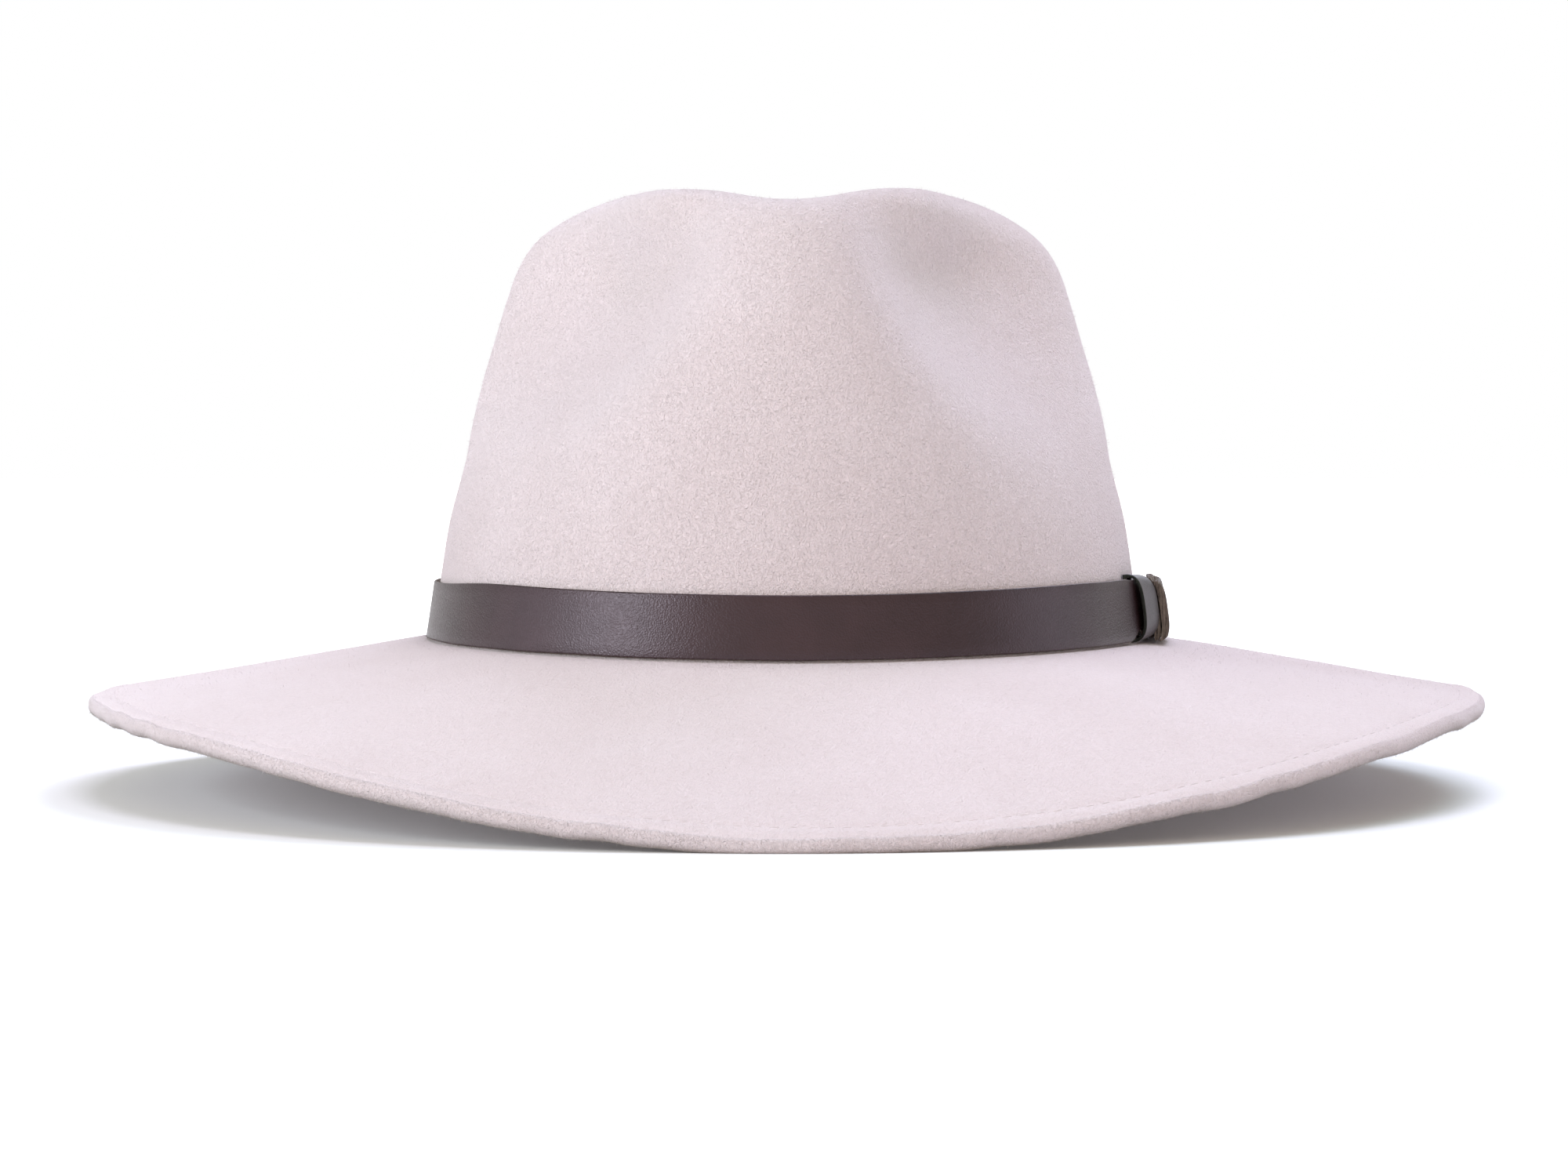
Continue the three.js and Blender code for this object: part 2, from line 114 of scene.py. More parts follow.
def smooth_table(x, xs, ys):
    """A smooth curve through the points of a table (cubic, with its slopes from neighbours)."""
    slopes = np.gradient(ys, xs, edge_order=1)
    k = np.clip(np.searchsorted(xs, x, side="right") - 1, 0, len(xs) - 2)
    step = xs[k + 1] - xs[k]
    t = (x - xs[k]) / step
    return (
        (1 + 2 * t) * (1 - t) ** 2 * ys[k]
        + t * (1 - t) ** 2 * step * slopes[k]
        + t * t * (3 - 2 * t) * ys[k + 1]
        + t * t * (t - 1) * step * slopes[k + 1]
    )


def stack(x, y, z):
    return np.stack(np.broadcast_arrays(x, y, z), axis=-1)


def unit(v):
    return v / np.maximum(np.linalg.norm(v, axis=-1, keepdims=True), 1e-12)


def half_length(turn, front, back):
    return np.where(np.cos(turn) > 0, front, back)


def oval_normal(turn, width, front, back):
    return unit(stack(np.sin(turn) / width, -np.cos(turn) / half_length(turn, front, back), 0.0))


def from_front(turn):
    return np.degrees(np.abs(np.arctan2(np.sin(turn), np.cos(turn))))


def rim_height(turn):
    saddle = RIM_SADDLE * np.exp(-((from_front(turn) / RIM_SADDLE_TURN) ** 2))
    return CROWN_HEIGHT - saddle - RIM_BACK_DROP * smooth((from_front(turn) - 90) / 90)


def break_line(turn):
    return -BREAK_DIP * np.cos(turn) ** 4


def break_point(turn):
    return stack(
        CROWN_HALF_WIDTH * np.sin(turn), -CROWN_HALF_LENGTH * np.cos(turn), break_line(turn)
    )


def crown_height(turn, share):
    return break_line(turn) + (rim_height(turn) - break_line(turn)) * share


def pinch_depth(turn, height):
    beyond = from_front(turn) - PINCH_TURN
    across = beyond / np.where(beyond > 0, PINCH_BACK_SPREAD, PINCH_NOSE_SPREAD)
    inside = 1 - np.hypot(across, (height - PINCH_HEIGHT) / PINCH_REACH) ** PINCH_FULLNESS
    inside = (inside + np.hypot(inside, PINCH_CREASE)) / 2 - 0.02 * PINCH_CREASE
    mix = smooth(across + 0.5)
    softness = PINCH_NOSE_SOFTNESS * (1 - mix) + PINCH_BACK_SOFTNESS * mix
    near_rim = (height - PINCH_HOLD_START) / (CROWN_HEIGHT - PINCH_HOLD_START)
    held = 1 - PINCH_HOLD * np.maximum(0, near_rim) ** PINCH_HOLD_SHARPNESS
    return PINCH_DEPTH * held * np.maximum(0, inside) ** softness


def crown_point(turn, share, pinch_share=1.0):
    """Outside of the crown at a share of its height."""
    width, front, back = (
        size * smooth_table(share, CROWN_SECTIONS[:, 0], CROWN_SECTIONS[:, column])
        for size, column in SECTION_SIZES
    )
    height = crown_height(turn, share)
    depth = pinch_share * pinch_depth(turn, height)
    point = stack(width * np.sin(turn), -half_length(turn, front, back) * np.cos(turn), height)
    point = point - oval_normal(turn, width, front, back) * depth[..., None]
    point[..., 0] += CROWN_LEAN * share
    return point


def top_point(turn, reach):
    """Top of the crown inside its rim, without the pinches."""
    rim = crown_point(turn, 1.0, 0.0)
    centre = np.array([CROWN_LEAN, TOP_DENT_SHIFT, 0.0])
    point = centre + (rim - centre) * reach
    sink = smooth_table(reach, TOP_SECTIONS[:, 0], TOP_SECTIONS[:, 1])
    point[..., 2] = rim[..., 2] + (CROWN_HEIGHT - TOP_DENT_DEPTH - rim[..., 2]) * sink
    return point


def brim_point(turn, distance):
    """Top of the brim at a distance from the crown."""
    along = np.cos(turn - math.radians(BRIM_DIP_TURN))
    sharpness = np.where(along > 0, BRIM_FRONT_SHARPNESS, BRIM_BACK_SHARPNESS)
    dip = np.abs(along) ** sharpness
    slope = np.radians(BRIM_SIDE_SLOPE + (BRIM_DIP_SLOPE - BRIM_SIDE_SLOPE) * dip)
    sloping = distance - BRIM_EASE * (1 - np.exp(-distance / BRIM_EASE))
    outward = oval_normal(turn, CROWN_HALF_WIDTH, CROWN_HALF_LENGTH, CROWN_HALF_LENGTH)
    point = break_point(turn) + outward * (distance * np.cos(slope))[..., None]
    point[..., 2] -= sloping * np.sin(slope)
    return point


def wall_frame(turn):
    """Foot, up, along and outward directions of the crown's straight lowest stretch."""
    foot = break_point(turn)
    up = unit(crown_point(turn, WALL_SHARE) - foot)
    along = unit(stack(CROWN_HALF_WIDTH * np.cos(turn), CROWN_HALF_LENGTH * np.sin(turn), 0.0))
    return foot, up, along, unit(np.cross(along, up))


def fillet_point(turn, share):
    foot, up, _, _ = wall_frame(turn)
    wall_end = foot + up * BREAK_FILLET
    brim_end = brim_point(turn, BREAK_FILLET)
    a = wall_end + (foot - wall_end) * share
    b = foot + (brim_end - foot) * share
    return a + (b - a) * share


CAD_COLUMNS = 72
cad_turns = np.arange(CAD_COLUMNS) / CAD_COLUMNS * 2 * math.pi
BREAK_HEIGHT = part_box("felt_body")[1][2] / MM - rim_height(cad_turns).max()


# Distances round the band, behind the keeper's middle.

def speed(turn):
    return np.hypot(CROWN_HALF_WIDTH * np.cos(turn), CROWN_HALF_LENGTH * np.sin(turn))


ARC_STEPS = 7200
arc_turns = math.radians(KEEPER_TURN) + np.linspace(-2 * math.pi, 2 * math.pi, ARC_STEPS + 1)
arc_lengths = np.concatenate([[0], np.cumsum(speed((arc_turns[1:] + arc_turns[:-1]) / 2))])
arc_lengths = (arc_lengths - arc_lengths[ARC_STEPS // 2]) * (arc_turns[1] - arc_turns[0])
AROUND = arc_lengths[-1]


def turn_at(place):
    return np.interp(place, arc_lengths, arc_turns)


def wrapped(place):
    return place - AROUND * np.round(place / AROUND)


def bulge(place):
    return (KEEPER_THICKNESS + SEAT_GAP) * np.exp(-((wrapped(place) / BULGE_LENGTH) ** 2))


def narrowing(place):
    return np.exp(-((wrapped(place) / NARROW_LENGTH) ** 4))


def band_seat(place):
    return BAND_LIFT + BAND_SIDE_RISE * (1 - np.cos(turn_at(place)) ** 4)


def band_low(place):
    return band_seat(place) + (KEEPER_THICKNESS + SEAT_GAP) * narrowing(place)


def band_high(place):
    return band_seat(place) + BAND_HEIGHT - KEEPER_SQUEEZE * narrowing(place)


def beside_wall(place, off, up):
    """A point beside the crown's wall: along the band, off the felt and up the wall."""
    foot, upward, _, out = wall_frame(turn_at(place))
    point = foot + out * np.asarray(off)[..., None] + upward * np.asarray(up)[..., None]
    point[..., 2] += BREAK_HEIGHT
    return point


# Meshes from arrays.

def make_object(name, vertices, faces, materials, face_materials=None, shaded_smooth=True):
    """A mesh object from an array of vertices in millimetres and a list of faces. The shading
    is one value for all faces, or a list with one for each."""
    mesh = bpy.data.meshes.new(name)
    mesh.from_pydata((vertices * MM).tolist(), [], faces)
    for material in materials:
        mesh.materials.append(material)
    if face_materials is not None:
        mesh.polygons.foreach_set("material_index", np.array(face_materials, dtype=np.int32))
    shading = np.broadcast_to(shaded_smooth, len(faces)).tolist()
    mesh.polygons.foreach_set("use_smooth", shading)
    mesh.update()
    obj = bpy.data.objects.new(name, mesh)
    bpy.context.scene.collection.objects.link(obj)
    return obj


def set_attribute(obj, name, values):
    layer = obj.data.attributes.new(name, "FLOAT", "POINT")
    layer.data.foreach_set("value", np.asarray(values, dtype=np.float32))


def grid_faces(rows, columns, wrap_rows=False):
    """Quads of a grid of points numbered row by row. Each row closes on itself."""
    last_row = rows if wrap_rows else rows - 1
    r, c = np.meshgrid(np.arange(last_row), np.arange(columns), indexing="ij")
    r, c = r.ravel(), c.ravel()
    r2, c2 = (r + 1) % rows, (c + 1) % columns
    return np.stack([r * columns + c, r2 * columns + c, r2 * columns + c2, r * columns + c2], 1)


def perlin(points, scale, offset):
    """Smooth noise at points in millimetres, between about -1 and 1."""
    shift = Vector((offset, 1.7 * offset, -offset))
    return np.array([noise.noise(Vector(p) / scale + shift) for p in points.reshape(-1, 3)])


# Materials.

def new_material(name):
    material = bpy.data.materials.new(name)
    material.use_nodes = True
    return material, material.node_tree, material.node_tree.nodes["Principled BSDF"]


def feed(tree, value, socket):
    """Sets a socket to a number or an RGB colour, or links another node's output to it."""
    if isinstance(value, (int, float)):
        socket.default_value = value
    elif isinstance(value, tuple):
        socket.default_value = (*value, 1)
    else:
        tree.links.new(value, socket)


def noise_node(tree, coords, scale, detail=2.0, roughness=0.5, distortion=0.0):
    node = tree.nodes.new("ShaderNodeTexNoise")
    for socket, value in (
        ("Scale", scale), ("Detail", detail), ("Roughness", roughness),
        ("Distortion", distortion), ("Vector", coords),
    ):
        feed(tree, value, node.inputs[socket])
    return node.outputs["Fac"]


def ramp_node(tree, factor, *stops):
    """A colour ramp through two stops or more, each a position and an RGB colour."""
    node = tree.nodes.new("ShaderNodeValToRGB")
    elements = node.color_ramp.elements
    for k in (0, -1):
        elements[k].position, elements[k].color = stops[k][0], (*stops[k][1], 1)
    for position, color in stops[1:-1]:
        elements.new(position).color = (*color, 1)
    tree.links.new(factor, node.inputs["Fac"])
    return node.outputs["Color"]


def mix_colors(tree, factor, a, b, blend="MIX"):
    node = tree.nodes.new("ShaderNodeMix")
    node.data_type, node.blend_type = "RGBA", blend
    for value, socket in ((factor, 0), (a, 6), (b, 7)):
        feed(tree, value, node.inputs[socket])
    return node.outputs[2]


def math_node(tree, operation, *values):
    node = tree.nodes.new("ShaderNodeMath")
    node.operation = operation
    for value, socket in zip(values, node.inputs):
        feed(tree, value, socket)
    return node.outputs[0]


def bump_node(tree, height, strength, distance, normal=None):
    node = tree.nodes.new("ShaderNodeBump")
    node.inputs["Strength"].default_value = strength
    node.inputs["Distance"].default_value = distance
    tree.links.new(height, node.inputs["Height"])
    if normal is not None:
        tree.links.new(normal, node.inputs["Normal"])
    return node.outputs["Normal"]


def object_coords(tree):
    return tree.nodes.new("ShaderNodeTexCoord").outputs["Object"]


def attribute_value(tree, name):
    node = tree.nodes.new("ShaderNodeAttribute")
    node.attribute_name = name
    return node.outputs["Fac"]


def hair_lines(tree, coords, scale, thin, distortion):
    """Thin curly lines, like loose hairs: where a warped noise passes its middle value."""
    field = noise_node(tree, coords, scale, 1.5, 0.45, distortion)
    away = math_node(tree, "ABSOLUTE", math_node(tree, "SUBTRACT", field, 0.5))
    near = math_node(tree, "MULTIPLY_ADD", away, -1.0 / thin, 1.0)
    return math_node(tree, "POWER", math_node(tree, "MAXIMUM", near, 0.0), 0.8)


def felt_material():
    """Matted wool: a fine grain, short curly hairs over it, faint clouds of colour, a little
    lint. A vertex attribute darkens the downward faces of the brim's edge with painted shade,
    and "relief" raises the grain."""
    material, tree, shader = new_material("wool_felt")
    coords = object_coords(tree)
    grain = noise_node(tree, coords, 1900, 3, 0.6, 0.5)
    matting = noise_node(tree, coords, 1000, 3, 0.55, 0.8)
    hairs = math_node(
        tree, "ADD",
        hair_lines(tree, coords, 600, 0.045, 1.6), hair_lines(tree, coords, 950, 0.055, 1.2),
    )
    tone = math_node(tree, "MULTIPLY_ADD", grain, 0.5, math_node(tree, "MULTIPLY", matting, 0.5))
    base = ramp_node(tree, tone, (0.34, FELT_DARK), (0.5, FELT_MIDDLE), (0.66, FELT_LIGHT))
    base = mix_colors(tree, math_node(tree, "MULTIPLY", hairs, 0.11), base, FELT_HAIR)
    clouds = noise_node(tree, coords, 30, 4)
    cloud_color = ramp_node(tree, clouds, (0.35, (0.965, 0.955, 0.95)), (0.65, WHITE))
    base = mix_colors(tree, 1.0, base, cloud_color, "MULTIPLY")
    specks = noise_node(tree, coords, 900, 2)
    lint = ramp_node(tree, specks, (0.815, WHITE), (0.85, (0.5, 0.4, 0.36)))
    base = mix_colors(tree, 0.5, base, lint, "MULTIPLY")
    # Painted shade: a darker felt colour where the brim's edge faces down.
    edge_shaded = mix_colors(tree, 1.0, base, FELT_EDGE_SHADE, "MULTIPLY")
    base = mix_colors(tree, attribute_value(tree, "painted_edge_shade"), base, edge_shaded)
    tree.links.new(base, shader.inputs["Base Color"])
    shader.inputs["Roughness"].default_value = 1.0
    shader.inputs["Specular IOR Level"].default_value = 0.1
    shader.inputs["Sheen Weight"].default_value = 0.35
    shader.inputs["Sheen Roughness"].default_value = 0.5
    shader.inputs["Sheen Tint"].default_value = (0.99, 0.97, 1.0, 1)
    relief = attribute_value(tree, "relief")
    normal = None
    for height, distance in ((matting, 0.00050), (grain, 0.00056), (hairs, 0.00008)):
        raised = math_node(tree, "MULTIPLY", height, relief)
        normal = bump_node(tree, raised, 0.8, distance, normal)
    tree.links.new(normal, shader.inputs["Normal"])
    return material


def fibre_material(name, color):
    material, tree, shader = new_material(name)
    tone = noise_node(tree, object_coords(tree), 300, 1)
    dim = tuple(0.86 * c for c in color)
    tree.links.new(ramp_node(tree, tone, (0.35, dim), (0.65, color)), shader.inputs["Base Color"])
    shader.inputs["Roughness"].default_value = 0.8
    shader.inputs["Specular IOR Level"].default_value = 0.2
    shader.inputs["Sheen Weight"].default_value = 0.3
    return material


def leather_material(name, dark, light, roughness, grain, shine, tint):
    """Smooth calf: fine pebble grain, soft mottling and a satin finish."""
    material, tree, shader = new_material(name)
    coords = object_coords(tree)
    pebble = tree.nodes.new("ShaderNodeTexVoronoi")
    pebble.feature = "F1"
    pebble.inputs["Scale"].default_value = 2300
    tree.links.new(coords, pebble.inputs["Vector"])
    wrinkle = noise_node(tree, coords, 1700, 3, 0.6, 0.4)
    mottle = noise_node(tree, coords, 120, 4, 0.55)
    tree.links.new(ramp_node(tree, mottle, (0.3, dark), (0.7, light)), shader.inputs["Base Color"])
    smoother, rougher = (roughness - 0.06,) * 3, (roughness + 0.08,) * 3
    rough = ramp_node(tree, wrinkle, (0.3, smoother), (0.7, rougher))
    tree.links.new(rough, shader.inputs["Roughness"])
    shader.inputs["Specular IOR Level"].default_value = shine
    shader.inputs["Specular Tint"].default_value = (*tint, 1)
    normal = bump_node(tree, pebble.outputs["Distance"], 0.3 * grain, 0.0002)
    normal = bump_node(tree, wrinkle, 0.15 * grain, 0.0002, normal)
    tree.links.new(normal, shader.inputs["Normal"])
    return material


def cut_edge_material(name, dark, light):
    """The fibrous cut edge of leather: upright streaks, matt."""
    material, tree, shader = new_material(name)
    stretch = tree.nodes.new("ShaderNodeMapping")
    stretch.inputs["Scale"].default_value = (1.0, 1.0, 0.08)
    tree.links.new(object_coords(tree), stretch.inputs["Vector"])
    streaks = noise_node(tree, stretch.outputs["Vector"], 2300, 4, 0.6, 0.4)
    patches = noise_node(tree, object_coords(tree), 500, 3, 0.6)
    mixed = math_node(
        tree, "MULTIPLY_ADD", streaks, 0.7, math_node(tree, "MULTIPLY", patches, 0.3))
    tree.links.new(ramp_node(tree, mixed, (0.38, dark), (0.60, light)), shader.inputs["Base Color"])
    shader.inputs["Roughness"].default_value = 0.9
    shader.inputs["Specular IOR Level"].default_value = 0.2
    tree.links.new(bump_node(tree, streaks, 0.9, 0.0004), shader.inputs["Normal"])
    return material


WHITE = (1.0, 1.0, 1.0)
FELT_DARK, FELT_MIDDLE = (0.648, 0.554, 0.570), (0.690, 0.592, 0.609)
FELT_LIGHT, FELT_HAIR = (0.720, 0.619, 0.638), (0.78, 0.70, 0.72)
# The first colour below is painted shade for the brim edge's downward faces; the second is the wool
# of the loose fibres.
FELT_EDGE_SHADE, WOOL = (0.50, 0.47, 0.42), (0.72, 0.63, 0.65)
FELT = felt_material()
FUZZ = fibre_material("wool_fibre", WOOL)
THREAD = fibre_material("sewing_thread", WOOL)
# Darker fibres for the fold's lower half: painted shade.
EDGE_SHADE_FUZZ = fibre_material("edge_shade_fibre", (0.47, 0.42, 0.38))
LEATHER = leather_material(
    "band_leather", (0.014, 0.0055, 0.006), (0.022, 0.0095, 0.0105),
    roughness=0.37, grain=1.0, shine=0.62, tint=(1.0, 0.81, 0.91),
)
# The loop's grey base colour, lighter than the band's, is partly its leather and partly painted
# reflection: the grey sheen its face shows edge-on.
LOOP_LEATHER = leather_material(
    "loop_leather", (0.064, 0.058, 0.062), (0.092, 0.084, 0.089),
    roughness=0.42, grain=0.7, shine=0.9, tint=(1.0, 0.97, 1.0),
)
CUT_EDGE = cut_edge_material("leather_cut_edge", (0.028, 0.021, 0.018), (0.24, 0.195, 0.165))
LOOP_EDGE = cut_edge_material("loop_cut_edge", (0.012, 0.014, 0.011), (0.035, 0.04, 0.033))
LEATHER_FIBRE = fibre_material("leather_fibre", (0.19, 0.155, 0.125))


# The felt: one sheet from the middle of the crown's top to the folded edge of the brim, and
# back along its underside.

COLUMNS = 384
turns = np.arange(COLUMNS) / COLUMNS * 2 * math.pi
EDGE_DISTANCE = BRIM_WIDTH - FELT_THICKNESS
STITCH_INSET = 0.9
STITCH_DISTANCE = BRIM_WIDTH - FOLD_WIDTH + STITCH_INSET
GROOVE_DEPTH, GROOVE_WIDTH = 0.16, 0.9
WAVER_START, WAVER_REACH, DROOP_START, EDGE_DROOP = 77.0, 3.6, 77.3, 0.55
BRIM_SWELL = 1.15

ROW_STEP = 2.6
FILLET_SHARES = [0.0, 0.25, 0.5, 0.75, 1.0]
BRIM_DISTANCES = [
    1.8, 2.8, 4.2, 6.0, 8.5, 11.5, 15.0, 19.0, 23.0, 27.0, 31.0, 35.0, 39.0, 43.0, 47.0, 51.0,
    55.0, 59.0, 62.5, 66.0, 69.0, 71.5, 73.5, 74.8, 75.5, 76.0, 76.4, 76.8, 77.3, 78.0, 79.0,
    79.9, EDGE_DISTANCE,
]
FOLD_STEPS, FOLD_TURN = 12, 6  # rows round the fold, and the row where it starts to face down
FOLD_ANGLES = np.linspace(0, math.pi, FOLD_STEPS + 1)[1:]
# Painted shade round the fold, on the flap and on the raw edge: where it starts, how fast it grows,
# and how strong it is.
EDGE_SHADE_START, EDGE_SHADE_REACH, FLAP_EDGE_SHADE, RAW_EDGE_SHADE = 0.9, 1.7, (0.49, 0.21), 0.8


def crown_rows(angles):
    """Rows down the crown from its middle, as curves through the source's own sections, with
    the pinch pressed in afterwards. The last rows are the straight stretch at the band."""
    reaches = TOP_SECTIONS[:-1, 0]
    shares = CROWN_SECTIONS[::-1, 0]
    level = np.concatenate([np.ones(len(reaches)), shares])
    reach = np.concatenate([reaches, np.ones(len(shares))])
    knots = np.array(
        [top_point(angles, r) for r in reaches]
        + [crown_point(angles, s, 0.0) for s in shares]
    )
    knots[0] = knots[0].mean(axis=0)
    before = np.roll(knots[1], len(angles) // 2, axis=0)
    rows, levels, inner = [], [], []
    for k in range(len(knots) - 1):
        a, b = knots[k], knots[k + 1]
        prior = before if k == 0 else knots[k - 1]
        after = 2 * b - a if k + 2 == len(knots) else knots[k + 2]
        span = np.linalg.norm(b - a, axis=-1).max()
        steps = max(2, int(round(span / ROW_STEP)))
        straight = k + 2 == len(knots)
        d1, d2, d3 = (
            np.sqrt(np.linalg.norm(q - p, axis=-1, keepdims=True)) + 1e-6
            for p, q in ((prior, a), (a, b), (b, after))
        )
        out_a = (a - prior) / d1 - (b - prior) / (d1 + d2) + (b - a) / d2
        into_b = (b - a) / d2 - (after - a) / (d2 + d3) + (after - b) / d3
        for step in range(1 if k == 0 else 0, steps):
            t = step / steps
            if straight:
                row = a + (b - a) * t
            else:
                row = (
                    (2 * t**3 - 3 * t**2 + 1) * a + (t**3 - 2 * t**2 + t) * out_a * d2
                    + (3 * t**2 - 2 * t**3) * b + (t**3 - t**2) * into_b * d2
                )
            rows.append(row)
            levels.append(level[k] + (level[k + 1] - level[k]) * t)
            inner.append(reach[k] + (reach[k + 1] - reach[k]) * t)
    rows, levels, inner = np.array(rows), np.array(levels), np.array(inner)
    heights = np.where(
        inner[:, None] < 1, rim_height(angles)[None], crown_height(angles, levels[:, None]),
    )
    sizes = [
        size * np.interp(levels, CROWN_SECTIONS[:, 0], CROWN_SECTIONS[:, column])[:, None]
        for size, column in SECTION_SIZES
    ]
    inward = -oval_normal(np.broadcast_to(angles, heights.shape), *sizes)
    pressed = pinch_depth(angles, heights) * (inner * np.minimum(1, inner + 0.2))[:, None]
    foot = levels < WALL_SHARE
    foot_top = crown_height(angles, WALL_SHARE)
    pressed[foot] = pinch_depth(angles, foot_top) * levels[foot][:, None] / WALL_SHARE
    for _ in range(2):
        pressed[1:-1] = (pressed[:-2] + 2 * pressed[1:-1] + pressed[2:]) / 4
    return rows + inward * pressed[..., None], levels


def upper_rows(angles):
    """Rows of points on the felt's upper skin, and for each its height share on the crown
    and its distance along the brim."""
    crown, levels = crown_rows(angles)
    fillet = [fillet_point(angles, share) for share in FILLET_SHARES]
    brim = [brim_point(angles, distance) for distance in BRIM_DISTANCES]
    levels = np.concatenate([levels, np.zeros(len(fillet) + len(brim))])
    distances = np.concatenate([np.full(len(crown), -1.0), np.zeros(len(fillet)), BRIM_DISTANCES])
    return np.concatenate([crown, fillet, brim]), levels, distances


def row_normals(rows):
    down = np.gradient(rows, axis=0)
    around = np.roll(rows, -1, axis=1) - np.roll(rows, 1, axis=1)
    return unit(np.cross(down, around))


def swell_at(points):
    """The hand of the maker: slow swells of the felt."""
    return perlin(points, 46.0, 3.1) * 0.35 + perlin(points, 21.0, 8.4) * 0.14


upper, crown_level, along_brim = upper_rows(turns)
upper[..., 2] += BREAK_HEIGHT

# No swells behind the band, and a little more of them on the brim.
swell = swell_at(upper).reshape(upper.shape[:2]) * np.where(
    along_brim < 0, smooth((crown_level - 0.15) / 0.1), smooth(along_brim / 20.0) * BRIM_SWELL,
)[:, None]
upper += row_normals(upper) * swell[..., None]

# Outside the stitches the folded edge wavers in short waves, and droops.
waver = perlin(upper[-1], 9.0, 6.6) * 0.4 + perlin(upper[-1], 22.0, 1.9) * 0.5
waver -= 0.7 * waver.min()
droop = np.clip((along_brim - DROOP_START) / (EDGE_DISTANCE - DROOP_START), 0, 1) ** 2
upper[..., 2] += waver * smooth((along_brim - WAVER_START) / WAVER_REACH)[:, None]
upper[..., 2] -= EDGE_DROOP * droop[:, None]
normals = row_normals(upper)

groove = GROOVE_DEPTH * np.exp(-(((along_brim - STITCH_DISTANCE) / GROOVE_WIDTH) ** 2))
grooved = upper - normals * groove[:, None, None]

edge = len(upper) - 1
outward = unit(upper[edge] - upper[edge - 3])
fold = np.array([
    upper[edge]
    - normals[edge] * FELT_THICKNESS * (1 - math.cos(a))
    + outward * FELT_THICKNESS * math.sin(a)
    for a in FOLD_ANGLES
])


def sunk(rows, depth):
    return upper[rows] - normals[rows] * depth


# The folded flap's underside, its raw edge, and the main sheet's underside.
flap_rows = [r for r in range(edge - 1, 0, -1) if along_brim[r] >= BRIM_WIDTH - FOLD_WIDTH]
flap = np.array([sunk(r, 2 * FELT_THICKNESS - groove[r]) for r in flap_rows])
raw = flap_rows[-1]
inward = unit(upper[raw - 1] - upper[raw])
raw_edge = np.array([
    sunk(raw, depth * FELT_THICKNESS) + inward * reach
    for depth, reach in ((1.9, 0.3), (1.5, 0.45), (1.12, 0.5), (1.0, 0.75))
])
under = np.array([sunk(r, FELT_THICKNESS) for r in range(raw - 1, -1, -1)])

felt_rows = np.concatenate([grooved, fold, flap, raw_edge, under])
felt_rows[..., 2] = np.maximum(felt_rows[..., 2], 0.0)
middles = [felt_rows[0].mean(axis=0), felt_rows[-1].mean(axis=0)]
vertices = np.concatenate([felt_rows.reshape(-1, 3), middles])
faces = grid_faces(len(felt_rows), COLUMNS).tolist()
last_ring = (len(felt_rows) - 1) * COLUMNS
for c in range(COLUMNS):
    n = (c + 1) % COLUMNS
    faces.append([len(vertices) - 2, c, n])
    faces.append([len(vertices) - 1, last_ring + n, last_ring + c])

felt = make_object("felt_form", vertices, faces, [FELT])
# Painted shade, strongest on the fold's lower half, the flap and the raw edge, which all face down.
edge_shade_rows = np.concatenate([
    np.zeros(len(grooved)), smooth((FOLD_ANGLES - EDGE_SHADE_START) / EDGE_SHADE_REACH),
    np.linspace(*FLAP_EDGE_SHADE, len(flap)), np.full(len(raw_edge), RAW_EDGE_SHADE), np.zeros(len(under)),
])
set_attribute(felt, "painted_edge_shade", np.concatenate([np.repeat(edge_shade_rows, COLUMNS), [0, 0]]))
relief_rows = np.concatenate([
    np.where(along_brim < 0, 1.0, 1.0 - 0.5 * smooth(along_brim / 8)), np.full(len(fold), 1.0),
    np.full(len(flap) + len(raw_edge) + len(under), 0.8),
])
set_attribute(felt, "relief", np.concatenate([np.repeat(relief_rows, COLUMNS), [1, 1]]))
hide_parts("felt_body")
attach(felt, "root")


# Stitching: one row of short stitches through the folded edge, seen on both sides.

STITCH_LENGTH, STITCH_GAP, THREAD_RADIUS, THREAD_SINK = 2.2, 1.5, 0.13, 0.02
STITCH_SIDES, MARKS_PER_STITCH, RING_STEPS = 6, 8, 2880

# Rings along a stitch: share of its length, dip in thread radii, and girth.
STITCH_RINGS = (
    (0.0, 1.5, 0.6), (0.12, 0.35, 1.0), (0.5, 0.0, 1.0), (0.88, 0.35, 1.0), (1.0, 1.5, 0.6),
)


def stitch_mesh(starts, ends, ups):
    """Short threads from starts to ends, whose tips dip below the surface along -ups."""
    side = unit(np.cross(unit(ends - starts), ups))
    vertices = np.stack([
        starts + (ends - starts) * share - ups * THREAD_RADIUS * dip
        + (side * math.cos(a) + ups * math.sin(a)) * THREAD_RADIUS * girth
        for share, dip, girth in STITCH_RINGS
        for a in 2 * math.pi * np.arange(STITCH_SIDES) / STITCH_SIDES
    ], axis=1)
    first = np.arange(len(starts)) * len(STITCH_RINGS) * STITCH_SIDES
    quads = grid_faces(len(STITCH_RINGS), STITCH_SIDES) + first[:, None, None]
    return vertices.reshape(-1, 3), quads.reshape(-1, 4).tolist()


